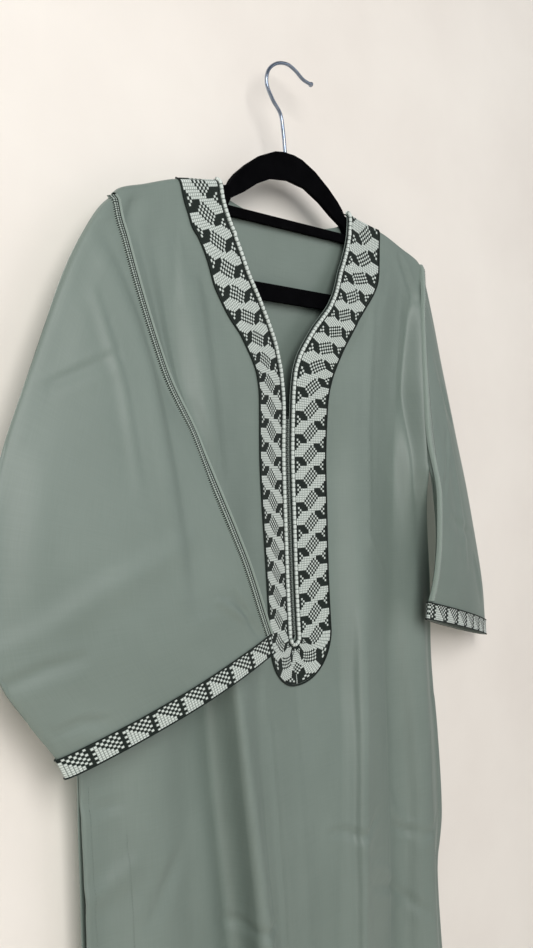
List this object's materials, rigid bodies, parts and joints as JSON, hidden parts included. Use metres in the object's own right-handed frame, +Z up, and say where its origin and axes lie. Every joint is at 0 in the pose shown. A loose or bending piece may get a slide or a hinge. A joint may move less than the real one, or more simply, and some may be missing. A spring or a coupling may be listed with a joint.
{
  "type": "thobe on a hanger",
  "caption": "Long loose robe with a V neck, chest slit, woven neck band and wide three-quarter sleeves, hung flat on a slim flocked hanger.",
  "frame": {"origin": "inside top of the hanger hook's bend, where a rail or nail carries the garment", "axes": "+X along the wall to the viewer's right when the front is seen, +Y from the garment's front into the wall, +Z up"},
  "size_m": [0.7274, 0.0761, 1.5406],
  "materials": {
    "sage_cloth": "satin",
    "woven_band": "matte",
    "dark_cord": "matte",
    "beaded_cord": "satin",
    "seam_braid": "satin",
    "black_flock": "flocked",
    "hook_wire": "polished"
  },
  "bodies": {
    "root": {"front_panel": "sage_cloth", "back_panel": "sage_cloth", "sleeve_left": "sage_cloth", "sleeve_right": "sage_cloth", "neck_band": "woven_band", "cuff_band_left": "woven_band", "cuff_band_right": "woven_band", "neck_edge_piping": "dark_cord", "band_outer_piping": "dark_cord", "slit_fastening": "dark_cord", "neck_beaded_cord": "beaded_cord", "sleeve_trim_left": "seam_braid", "sleeve_trim_right": "seam_braid", "hanger_body": "black_flock", "hanger_hook": "hook_wire"}
  },
  "joints": []
}
